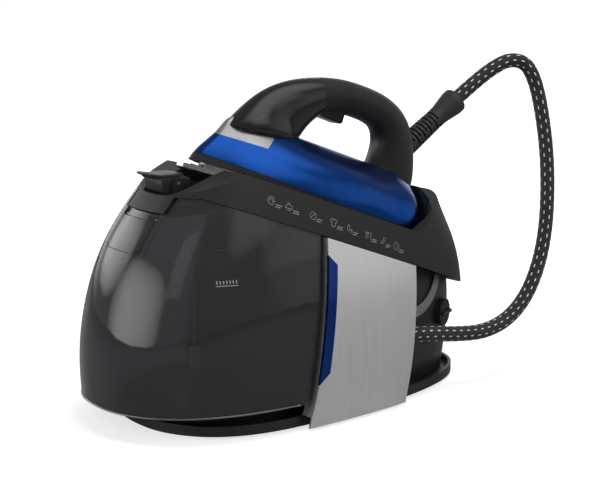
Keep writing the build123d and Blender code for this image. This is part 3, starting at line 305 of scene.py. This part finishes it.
def hose_braid():
    """Charcoal braid over rubber, with rows of short white tracer stitches along it."""
    material, tree, shader = new_material("hose_braid", sheen=0.08, specular=0.35)
    place = tree.nodes.new("ShaderNodeUVMap")
    place.uv_map = "along"
    parts = tree.nodes.new("ShaderNodeSeparateXYZ")
    tree.links.new(place.outputs["UV"], parts.inputs[0])
    along, around = parts.outputs["X"], parts.outputs["Y"]

    def wave(operation):
        """Yarns that wind one way (ADD) or the other (SUBTRACT); along is in metres, around runs 0 to 1."""
        far = math_node(tree, "MULTIPLY", along, WEAVE_ALONG)
        turned = math_node(tree, "MULTIPLY", around, WEAVE_AROUND)
        phase = math_node(tree, operation, far, turned)
        return math_node(tree, "SINE", math_node(tree, "MULTIPLY", phase, 2 * math.pi))

    weave = math_node(tree, "MAXIMUM", wave("ADD"), wave("SUBTRACT"))
    weave = math_node(tree, "ADD", math_node(tree, "MULTIPLY", weave, 0.5), 0.5, True)
    stitch = None
    for row in range(STITCH_ROWS):
        turn = math_node(tree, "FRACT", math_node(tree, "ADD", around, STITCH_TURN - row / STITCH_ROWS))
        off = math_node(tree, "ABSOLUTE", math_node(tree, "SUBTRACT", turn, 0.5))
        narrow = math_node(tree, "LESS_THAN", off, STITCH_HALF_WIDTH)
        lag = 0.5 * (row % 2)
        beat = math_node(tree, "FRACT", math_node(tree, "ADD", math_node(tree, "MULTIPLY", along, STITCH_ALONG), lag))
        short = math_node(tree, "LESS_THAN", beat, STITCH_SHARE)
        dash = math_node(tree, "MULTIPLY", narrow, short)
        stitch = dash if stitch is None else math_node(tree, "MAXIMUM", stitch, dash)
    yarn = mix_color(tree, weave, tone(0.004, 0.004, 0.005), tone(0.024, 0.024, 0.026))
    tree.links.new(mix_color(tree, stitch, yarn, tone(0.66, 0.66, 0.66)), shader.inputs["Base Color"])
    shader.inputs["Roughness"].default_value = 0.62
    height = math_node(tree, "ADD", weave, math_node(tree, "MULTIPLY", stitch, 0.5))
    add_relief(tree, shader, height, strength=0.9, distance=0.0004)
    return material


def smoked():
    """Dark see-through plastic of the tank."""
    material, tree, shader = new_material("smoked_plastic", transmission=0.86, ior=1.38)
    add_effect(tree, shader, MOULDED, {"Tone": tone(0.135, 0.138, 0.145), "Grain Scale": 60.0, "Tone Change": 0.10,
                                       "Roughness": 0.045, "Roughness Change": 0.03})
    return material


MATERIALS = {
    "black_plastic": moulded("black_plastic", tone(0.016, 0.0165, 0.018), 0.42),
    "foot_rubber": moulded("foot_rubber", tone(0.02, 0.02, 0.021), 0.75, 0.4, 900.0),
    "plated_steel": brushed("plated_steel", tone(0.62, 0.62, 0.63), 0.25, 0.08),
    "charcoal_plastic": moulded("charcoal_plastic", tone(0.017, 0.017, 0.018), 0.50, 0.30, 1500.0, specular=0.30),
    "pad_rubber": moulded("pad_rubber", tone(0.03, 0.03, 0.033), 0.8, 0.4, 1200.0),
    "brushed_panel": brushed("brushed_panel", tone(0.86, 0.86, 0.87), 0.38, 0.30),
    "blue_plastic": flaked("blue_plastic", tone(0.004, 0.030, 0.17), tone(0.012, 0.080, 0.40)),
    "silver_plastic": moulded("silver_plastic", tone(0.36, 0.36, 0.375), 0.32, 0.08, 2600.0, metallic=0.85),
    "grey_plastic": moulded("grey_plastic", tone(0.42, 0.42, 0.43), 0.25, metallic=0.6),
    "tube_rubber": moulded("tube_rubber", tone(0.45, 0.44, 0.42), 0.4, 0.1, 500.0),
    "dark_plastic": moulded("dark_plastic", tone(0.010, 0.010, 0.011), 0.30),
    "boiler_steel": brushed("boiler_steel", tone(0.52, 0.52, 0.53), 0.3),
    "fitting_brass": brushed("fitting_brass", tone(0.62, 0.44, 0.19), 0.3, 0.1),
    "board_green": moulded("board_green", tone(0.02, 0.12, 0.05), 0.35, 0.3, 400.0),
    "smoked_plastic": smoked(),
    "sole_metal": brushed("sole_metal", tone(0.46, 0.46, 0.47), 0.22, 0.10, 0.05),
    "cast_aluminium": moulded("cast_aluminium", tone(0.50, 0.50, 0.51), 0.5, 0.5, 700.0, metallic=1.0),
    "blue_shell": flaked("blue_shell", tone(0.003, 0.045, 0.25), tone(0.008, 0.115, 0.52)),
    "gloss_black": moulded("gloss_black", tone(0.008, 0.008, 0.009), 0.20, 0.03, 300.0, coat=0.25),
    "soft_grip": moulded("soft_grip", tone(0.009, 0.009, 0.0095), 0.42, 0.2, 2200.0, sheen=0.08, specular=0.35),
    "lens": moulded("lens", tone(0.55, 0.56, 0.58), 0.12, 0.02, 300.0, coat=0.5),
    "relief_rubber": moulded("relief_rubber", tone(0.020, 0.020, 0.022), 0.5, 0.3, 1500.0),
    "print_ink": moulded("print_ink", tone(0.30, 0.30, 0.31), 0.5, 0.05, 1500.0),
}
SLOT_OF = {part["node"]: part["material_slot"] for part in frame["record"]["subparts"]}

# nodes whose finish is not their slot's
FINISH_OF = {"arc_trim": "silver_plastic", "drain_cap": "black_plastic"}

for name, obj in nodes.items():
    if name == "steam_hose":
        continue
    obj.data.materials.clear()
    obj.data.materials.append(MATERIALS[FINISH_OF.get(name, SLOT_OF[name])])
    for face in obj.data.polygons:
        face.use_smooth = True
    obj.data.set_sharp_from_angle(angle=SHARP_ANGLE)


# ---------------------------------------------------------------- mesh helpers
def as_object(name, bm):
    """Turns a bmesh into an object of the scene."""
    mesh = bpy.data.meshes.new(name)
    bm.to_mesh(mesh)
    bm.free()
    piece = bpy.data.objects.new(name, mesh)
    scene.collection.objects.link(piece)
    return piece


def rounded(angle, power):
    """Cosine and sine of an angle, each raised to a power with its sign kept."""
    return [math.copysign(abs(value) ** power, value) for value in (math.cos(angle), math.sin(angle))]


# ---------------------------------------------------------------- steam hose
def route_line(name, points):
    """Smooth line through the route, as evenly spaced points."""
    curve = bpy.data.curves.new(name, "CURVE")
    curve.dimensions = "3D"
    spline = curve.splines.new("NURBS")
    spline.points.add(len(points) - 1)
    for point, place in zip(spline.points, points):
        point.co = (*place, 1)
    spline.order_u = 3
    spline.use_endpoint_u = True
    curve.resolution_u = 16
    holder = bpy.data.objects.new(name, curve)
    mesh = bpy.data.meshes.new_from_object(holder)
    line = [vertex.co.copy() for vertex in mesh.vertices]
    bpy.data.objects.remove(holder)
    bpy.data.meshes.remove(mesh)
    return line


def respaced(line, step):
    """The line with evenly spaced points, and its length."""
    lengths = [0.0]
    for a, b in zip(line, line[1:]):
        lengths.append(lengths[-1] + (b - a).length)
    count = max(2, round(lengths[-1] / step))
    out, j = [], 0
    for i in range(count + 1):
        target = lengths[-1] * i / count
        while j < len(lengths) - 2 and lengths[j + 1] < target:
            j += 1
        share = (target - lengths[j]) / (lengths[j + 1] - lengths[j])
        out.append(line[j].lerp(line[j + 1], share))
    return out, lengths[-1]


def tube_mesh(name, line, radius, sides):
    """Closed tube along a line, with a map of metres along and turns around."""
    bm = bmesh.new()
    layer = bm.loops.layers.uv.new("along")
    side = Vector((0, 1, 0))
    rings, metres = [], [0.0]
    for a, b in zip(line, line[1:]):
        metres.append(metres[-1] + (b - a).length)
    for i, centre in enumerate(line):
        ahead = (line[min(i + 1, len(line) - 1)] - line[max(i - 1, 0)]).normalized()
        side = (side - ahead * side.dot(ahead)).normalized()
        other = ahead.cross(side)
        ring = []
        for k in range(sides):
            angle = 2 * math.pi * k / sides
            ring.append(bm.verts.new(centre + side * math.cos(angle) * radius + other * math.sin(angle) * radius))
        rings.append(ring)
    for i in range(len(rings) - 1):
        for k in range(sides):
            n = (k + 1) % sides
            face = bm.faces.new((rings[i][k], rings[i][n], rings[i + 1][n], rings[i + 1][k]))
            face.smooth = True
            corners = ((i, k), (i, k + 1), (i + 1, k + 1), (i + 1, k))
            for loop, (row, turn) in zip(face.loops, corners):
                loop[layer].uv = (metres[row], turn / sides)
    bm.faces.new(list(reversed(rings[0])))
    bm.faces.new(rings[-1])
    bmesh.ops.recalc_face_normals(bm, faces=bm.faces)
    return as_object(name, bm)


hose_line, hose_measure = respaced(route_line("hose_route", HOSE_ROUTE), HOSE_STEP)
hose = tube_mesh("steam_hose_braided", hose_line, HOSE_RADIUS, HOSE_SIDES)
hose.data.materials.append(hose_braid())
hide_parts("steam_hose")
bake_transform(hose)


# ---------------------------------------------------------------- printed marks
def arc_line(cx, cy, radius, start, end, steps=8):
    """Points of an arc, angles in degrees."""
    angles = [math.radians(start + (end - start) * i / steps) for i in range(steps + 1)]
    return [(cx + radius * math.cos(a), cy + radius * math.sin(a)) for a in angles]


DROP = [(0, 1), (-0.45, 0.3), (-0.6, -0.25), (-0.35, -0.75), (0, -0.9), (0.35, -0.75), (0.6, -0.25), (0.45, 0.3),
        (0, 1)]
# line drawings in a square from -1 to 1: care, steam, leaf, shirt, water, curtain, brush, clock
DRAWINGS = [
    [arc_line(0, 0, 0.9, 30, 330), arc_line(0, 0, 0.45, -60, 200), [(0.2, 0), (1, 0)]],
    [[(-1, -0.4), (0.8, -0.4), (0.95, 0.1), (0.3, 0.5), (-0.5, 0.4), (-1, -0.4)], arc_line(-0.2, 0.5, 0.35, 20, 160),
     [(-0.6, -0.75), (0.5, -0.75)]],
    [arc_line(0.1, -0.1, 0.85, 100, 350), [(0.1, 0.75), (0.7, 0.4), (0.95, -0.2)], [(-0.5, -0.6), (0.5, 0.4)]],
    [[(-0.35, 0.85), (-1, 0.4), (-0.7, 0), (-0.5, 0.15), (-0.5, -0.85), (0.5, -0.85), (0.5, 0.15), (0.7, 0), (1, 0.4),
      (0.35, 0.85), (0, 0.6), (-0.35, 0.85)]],
    [[(x * 0.7 - 0.2, y * 0.8 + 0.1) for x, y in DROP], [(x * 0.35 + 0.7, y * 0.4 - 0.4) for x, y in DROP]],
    [[(-1, 0.6), (1, 0.6)], [(-0.9, 0.6), (-0.6, -0.1), (-0.9, -0.8)], [(-0.3, 0.6), (-0.1, -0.1), (-0.3, -0.8)],
     [(0.9, 0.6), (0.6, -0.1), (0.9, -0.8)]],
    [[(-0.8, -0.8), (0.3, 0.3)], arc_line(0.5, 0.5, 0.4, 0, 360), [(-0.2, -0.8), (0.6, -0.2)]],
    [arc_line(0, 0, 0.9, 0, 360, 14), [(0, 0.5), (0, 0), (0.4, -0.2)]],
]
MARK_BACKS = (0.050, 0.067, 0.092, 0.115, 0.133, 0.156, 0.174, 0.192)   # along the iron, from its tip
MARK_SIZE, MARK_UP, MARK_FALL = 0.0038, -0.0075, 0.0045                  # the row falls towards the iron's rear
INK_WIDTH, INK_LIFT, INK_STEP = 0.00036, 0.00015, 0.0012
CAPTION_WIDTH, CAPTION_UNDER, CAPTION_PITCH = 0.0006, 0.0022, 0.0018
SIDE_START = 0.4                                                        # beyond the left side


def side_tree(name):
    """Search tree over a node's faces, in the scene's frame."""
    obj = nodes[name]
    corners = [obj.matrix_world @ vertex.co for vertex in obj.data.vertices]
    return BVHTree.FromPolygons(corners, [tuple(face.vertices) for face in obj.data.polygons])


def on_left_side(tree, x, z):
    """Place and outward direction of the left side at x, z."""
    place, normal, _, _ = tree.ray_cast(Vector((x, SIDE_START, z)), Vector((0, -1, 0)))
    if normal.y < 0:
        normal = -normal
    return place + normal * INK_LIFT, normal


def ink_piece(name, tree, strokes, width, body):
    """Thin ribbons along strokes that lie on a node's left side."""
    bm = bmesh.new()
    for stroke in strokes:
        fine = []
        for (x0, z0), (x1, z1) in zip(stroke, stroke[1:]):
            count = max(1, math.ceil(math.hypot(x1 - x0, z1 - z0) / INK_STEP))
            fine += [(x0 + (x1 - x0) * i / count, z0 + (z1 - z0) * i / count) for i in range(count)]
        fine.append(stroke[-1])
        spots = [on_left_side(tree, x, z) for x, z in fine]
        rows = []
        for i, (place, normal) in enumerate(spots):
            ahead = (spots[min(i + 1, len(spots) - 1)][0] - spots[max(i - 1, 0)][0]).normalized()
            side = normal.cross(ahead).normalized() * (width / 2)
            rows.append((bm.verts.new(place + side), bm.verts.new(place - side)))
        for a, b in zip(rows, rows[1:]):
            bm.faces.new((a[0], a[1], b[1], b[0]))
    piece = as_object(name, bm)
    piece.data.materials.append(MATERIALS["print_ink"])
    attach(piece, body)


def from_iron(back, up):
    """x and z of a place given along the iron and over its sole."""
    x = TIP.x - back * math.cos(TILT) - up * math.sin(TILT)
    z = TIP.z - back * math.sin(TILT) + up * math.cos(TILT)
    return x, z


band_side = side_tree("upper_casing")
for i, (drawing, back) in enumerate(zip(DRAWINGS, MARK_BACKS)):
    up = MARK_UP - MARK_FALL * i / (len(DRAWINGS) - 1)
    strokes = [[from_iron(back + x * MARK_SIZE, up + y * MARK_SIZE) for x, y in stroke] for stroke in drawing]
    ink_piece(f"mark_{i + 1}", band_side, strokes, INK_WIDTH, "station")
    lines = []
    for row, (start, end) in enumerate(((0.0048, 0.0105), (0.0040, 0.0090 + 0.0015 * (i % 2)))):
        level = up - CAPTION_UNDER - CAPTION_PITCH * row
        lines.append([from_iron(back + start, level), from_iron(back + end, level)])
    ink_piece(f"caption_{i + 1}", band_side, lines, CAPTION_WIDTH, "station")

# the fill mark: a line with a row of ticks over it
LEVEL_X, LEVEL_Z, LEVEL_HALF, LEVEL_WIDTH = 0.121, 0.1355, 0.009, 0.0007
TICKS, TICK_START, TICK_PITCH, TICK_WIDTH = 7, 0.008, 0.0026, 0.0010
TICK_LOW, TICK_HIGH = 0.0015, 0.0042

tank_side = side_tree("tank_shell")
level_line = [(LEVEL_X + LEVEL_HALF, LEVEL_Z), (LEVEL_X - LEVEL_HALF, LEVEL_Z)]
ink_piece("fill_line", tank_side, [level_line], LEVEL_WIDTH, "water_tank")
tick_places = [LEVEL_X + TICK_START - TICK_PITCH * i for i in range(TICKS)]
ink_piece("fill_ticks", tank_side, [[(x, LEVEL_Z + TICK_LOW), (x, LEVEL_Z + TICK_HIGH)] for x in tick_places],
          TICK_WIDTH, "water_tank")


# ---------------------------------------------------------------- tank rim: a glossy tube whose lighter grey is a painted highlight
TANK_PLAN = (0.057, 0.199, -0.196, 0.103, 2.3)      # widest place, front, rear, half width, exponent
TANK_LOW, RIM_RADIUS, TANK_REAR_X = 0.0252, 0.0009, 0.052
RIM_TURN, RIM_STEPS, RIM_LEAST = 93, 120, 0.0002    # degrees to each side, steps, shortest step


def rim_line():
    """Plan of the tank's lower edge, from its rear left corner round the front."""
    middle, front, rear, half, power = TANK_PLAN
    line = []
    for i in range(RIM_STEPS + 1):
        ahead, across = rounded(math.radians(2 * RIM_TURN * i / RIM_STEPS - RIM_TURN), 2 / power)
        reach = front - middle if ahead > 0 else middle - rear
        line.append(Vector((max(middle + reach * ahead, TANK_REAR_X), half * across, TANK_LOW)))
    return [point for point, after in zip(line, line[1:]) if (after - point).length > RIM_LEAST]


tank_edge_highlight = tube_mesh("tank_edge_highlight", rim_line(), RIM_RADIUS, sides=10)
# the tube's lighter grey is a painted highlight of the wall's lit lower edge; its coat also reflects the lamps
tank_edge_highlight.data.materials.append(moulded("rim_painted_highlight", tone(0.09, 0.09, 0.095), 0.12, 0.02, 300.0, coat=1.0))
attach(tank_edge_highlight, "water_tank")


# ---------------------------------------------------------------- inside the tank
# name, start, end, radius
TANK_INSIDE = [
    ("guide_rib", (0.137, 0.062, 0.160), (0.141, 0.068, 0.082), 0.0007),
    ("guide_foot", (0.141, 0.068, 0.082), (0.142, 0.069, 0.066), 0.0045),
    ("inner_ledge", (0.140, 0.050, 0.158), (0.108, 0.066, 0.161), 0.0006),
    ("filter_cup", (0.150, 0.062, 0.030), (0.150, 0.062, 0.042), 0.0060),
]
INSIDE_STEPS, INSIDE_SIDES = 8, 20

guide = moulded("tank_guide", tone(0.50, 0.50, 0.51), 0.3, 0.02, 300.0)
for name, start, end, radius in TANK_INSIDE:
    a, b = Vector(start), Vector(end)
    rod_line = [a.lerp(b, i / INSIDE_STEPS) for i in range(INSIDE_STEPS + 1)]
    piece = tube_mesh(name, rod_line, radius, INSIDE_SIDES)
    piece.data.materials.append(guide)
    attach(piece, "water_tank")


# ---------------------------------------------------------------- latch
PIN_X, PIN_Z, LATCH_HALF = 0.124, 0.213, 0.0147
DRUM_RADIUS, DRUM_STEPS = 0.0148, 32
DRUM_START, DRUM_SWEEP = 168, 204               # degrees
# share of the half width, and how far the rim's rounding draws the side in there
DRUM_SIDE = ((-1, -0.0030), (-0.985, -0.0012), (-0.94, -0.0003), (-0.88, 0), (0.88, 0), (0.94, -0.0003),
             (0.985, -0.0012), (1, -0.0030))
DRUM_LIP_X, DRUM_LIP_Z, DRUM_TOP_X, DRUM_TOP_Z = 0.004, 0.0060, -0.006, 0.0066
PLATE_ROWS, PLATE_POINTS = 14, 28
PLATE_X, PLATE_REACH, PLATE_LIFT, PLATE_HALF_THICK = 0.0075, 0.0185, 0.0062, 0.0019
PLATE_WIDER, LIP_RISE, LIP_START = 1.03, 0.0045, 0.25


def skinned(name, rings):
    """Smooth closed skin through rings with equal numbers of points."""
    bm = bmesh.new()
    rows = [[bm.verts.new(point) for point in ring] for ring in rings]
    for a, b in zip(rows, rows[1:]):
        for k in range(len(a)):
            n = (k + 1) % len(a)
            bm.faces.new((a[k], a[n], b[n], b[k]))
    bm.faces.new(list(reversed(rows[0])))
    bm.faces.new(rows[-1])
    bmesh.ops.recalc_face_normals(bm, faces=bm.faces)
    for face in bm.faces:
        face.smooth = True
    return as_object(name, bm)


def latch_drum():
    """Drum with a teardrop side and rounded rims."""
    rings = []
    for share, grow in DRUM_SIDE:
        across, radius = share * LATCH_HALF, DRUM_RADIUS + grow
        ring = []
        for k in range(DRUM_STEPS + 1):
            angle = math.radians(DRUM_START + DRUM_SWEEP * k / DRUM_STEPS)
            ring.append((PIN_X + radius * math.cos(angle), across, PIN_Z + radius * math.sin(angle)))
        ring.append((ring[-1][0] + DRUM_LIP_X, across, PIN_Z + DRUM_LIP_Z + grow))
        ring.append((PIN_X + DRUM_TOP_X, across, PIN_Z + DRUM_TOP_Z + grow))
        rings.append(ring)
    return skinned("latch_drum", rings)


def latch_plate():
    """Thumb plate with a round lip that turns up in front."""
    rings = []
    for row in range(PLATE_ROWS + 1):
        share = 2 * row / PLATE_ROWS - 1
        swell = math.sqrt(max(0.0, 1 - abs(share) ** 5)) + 0.02
        middle = PIN_X + PLATE_X + share * PLATE_REACH
        lift = PLATE_LIFT + LIP_RISE * max(0.0, share - LIP_START) ** 1.5
        ring = []
        for k in range(PLATE_POINTS):
            angle = 2 * math.pi * k / PLATE_POINTS
            across = rounded(angle, 0.5)[0] * LATCH_HALF * PLATE_WIDER * swell ** 0.7
            thick = rounded(angle, 0.6)[1] * PLATE_HALF_THICK * swell
            ring.append((middle, across, PIN_Z + lift + thick))
        rings.append(ring)
    return skinned("latch_plate", rings)


for piece in (latch_drum(), latch_plate()):
    piece.data.materials.append(MATERIALS["black_plastic"])
    piece.data.set_sharp_from_angle(angle=LATCH_SHARP_ANGLE)
    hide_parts("latch")
    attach(piece, "latch")


# ---------------------------------------------------------------- stage and light
FLOOR_HALF = 6
PAPER, PAPER_IN_MIRRORS = 0.55, 0.32            # the floor's grey to the eye and to mirrors
GLOW_START, GLOW_SLOPE, GLOW_MOST, GLOW_LEAST = 0.35, 0.9, 0.5, 0.72    # the floor's glow grows with distance


def ray_mask(tree):
    """1 for camera and see-through rays that haven't met a mirror on the way."""
    path = tree.nodes.new("ShaderNodeLightPath")
    return math_node(tree, "MAXIMUM", path.outputs["Is Camera Ray"], path.outputs["Is Transmission Ray"])


def add_floor():
    bm = bmesh.new()
    corners = [(-1, -1), (1, -1), (1, 1), (-1, 1)]
    bm.faces.new([bm.verts.new((x * FLOOR_HALF, y * FLOOR_HALF, 0)) for x, y in corners])
    floor = as_object("floor", bm)
    material = bpy.data.materials.new("floor_paper")
    material.use_nodes = True
    tree = material.node_tree
    shader = tree.nodes["Principled BSDF"]
    path = tree.nodes.new("ShaderNodeLightPath")
    paper = mix_color(tree, path.outputs["Is Glossy Ray"], grey(PAPER), grey(PAPER_IN_MIRRORS))
    tree.links.new(paper, shader.inputs["Base Color"])
    shader.inputs["Roughness"].default_value = 0.9
    shader.inputs["Specular IOR Level"].default_value = 0.0
    glow = tree.nodes.new("ShaderNodeEmission")
    glow.inputs["Color"].default_value = grey(1)
    place = tree.nodes.new("ShaderNodeNewGeometry")
    far = vector_node(tree, "LENGTH", place.outputs["Position"])
    beyond = math_node(tree, "SUBTRACT", far.outputs["Value"], GLOW_START, True)
    rise = math_node(tree, "MULTIPLY", beyond, GLOW_SLOPE)
    level = math_node(tree, "ADD", math_node(tree, "MINIMUM", rise, GLOW_MOST), GLOW_LEAST)
    tree.links.new(math_node(tree, "MULTIPLY", ray_mask(tree), level), glow.inputs["Strength"])
    both = tree.nodes.new("ShaderNodeAddShader")
    tree.links.new(shader.outputs[0], both.inputs[0])
    tree.links.new(glow.outputs[0], both.inputs[1])
    tree.links.new(both.outputs[0], tree.nodes["Material Output"].inputs["Surface"])
    floor.data.materials.append(material)


# soft lamps that only show as reflections: direction, half width and half height (rad), strength
LAMPS = [
    ((0.93, -0.20, 0.17), 0.60, 0.36, 5.0),
    ((-0.20, 0.42, 0.88), 0.55, 0.40, 1.5),
    ((-0.16, 0.80, 0.55), 0.34, 0.26, 1.1),
    ((0.36, -0.88, 0.30), 0.34, 0.24, 3.2),
    ((-0.54, -0.83, 0.10), 0.80, 0.50, 0.8),
    ((-0.76, 0.62, 0.12), 0.52, 0.42, 0.42),
]
LAMP_CORNER, LAMP_EDGE = 2.6, 0.8               # powers: how square a lamp is, how soft its edge
GLOSS_LEVEL = 0.26                              # what mirrors see between the lamps
SHADE_LEVEL = 0.22                              # even light on matt surfaces


def lamp_glow(tree, ray, direction, half_width, half_height, strength):
    """Soft oval of light around a direction."""
    ahead = Vector(direction).normalized()
    across = Vector((0, 0, 1)).cross(ahead).normalized()
    upward = ahead.cross(across)
    parts = []
    for axis, half in ((across, half_width), (upward, half_height)):
        dot = vector_node(tree, "DOT_PRODUCT", ray)
        dot.inputs[1].default_value = axis / half
        parts.append(math_node(tree, "POWER", math_node(tree, "ABSOLUTE", dot.outputs["Value"]), LAMP_CORNER))
    front = vector_node(tree, "DOT_PRODUCT", ray)
    front.inputs[1].default_value = ahead
    near = math_node(tree, "GREATER_THAN", front.outputs["Value"], 0.0)
    inside = math_node(tree, "SUBTRACT", 1.0, math_node(tree, "ADD", parts[0], parts[1]), True)
    soft = math_node(tree, "POWER", inside, LAMP_EDGE)
    return math_node(tree, "MULTIPLY", math_node(tree, "MULTIPLY", soft, near), strength)


def add_world():
    world = bpy.data.worlds.new("studio")
    scene.world = world
    world.use_nodes = True
    tree = world.node_tree
    back = tree.nodes["Background"]
    back.inputs["Color"].default_value = grey(1)
    ray = tree.nodes.new("ShaderNodeTexCoord").outputs["Generated"]
    glow = GLOSS_LEVEL
    for lamp in LAMPS:
        glow = math_node(tree, "ADD", lamp_glow(tree, ray, *lamp), glow)
    path = tree.nodes.new("ShaderNodeLightPath")
    more = math_node(tree, "SUBTRACT", glow, SHADE_LEVEL)
    level = math_node(tree, "ADD", math_node(tree, "MULTIPLY", more, path.outputs["Is Glossy Ray"]), SHADE_LEVEL)
    mask = ray_mask(tree)
    rest = math_node(tree, "MULTIPLY", level, math_node(tree, "SUBTRACT", 1.0, mask))
    tree.links.new(math_node(tree, "ADD", rest, mask), back.inputs["Strength"])


def add_light(name, place, target, width, height, power):
    """Area light for shade and shadow; mirrors don't see it."""
    data = bpy.data.lights.new(name, "AREA")
    data.shape = "RECTANGLE"
    data.size, data.size_y = width, height
    data.energy = power
    light = bpy.data.objects.new(name, data)
    light.location = place
    light.rotation_euler = (Vector(target) - Vector(place)).to_track_quat("-Z", "Y").to_euler()
    light.visible_glossy = False
    scene.collection.objects.link(light)


add_floor()
add_world()
add_light("key_box", (1.5, 0.9, 1.1), (0.05, 0, 0.15), width=0.5, height=1.0, power=9)
add_light("top_box", (-0.1, 0.3, 1.7), (0, 0, 0.2), width=1.2, height=0.6, power=18)
add_light("side_box", (-0.9, 1.6, 0.9), (-0.05, 0, 0.15), width=0.9, height=0.9, power=8)
scene.view_settings.view_transform = "Standard"
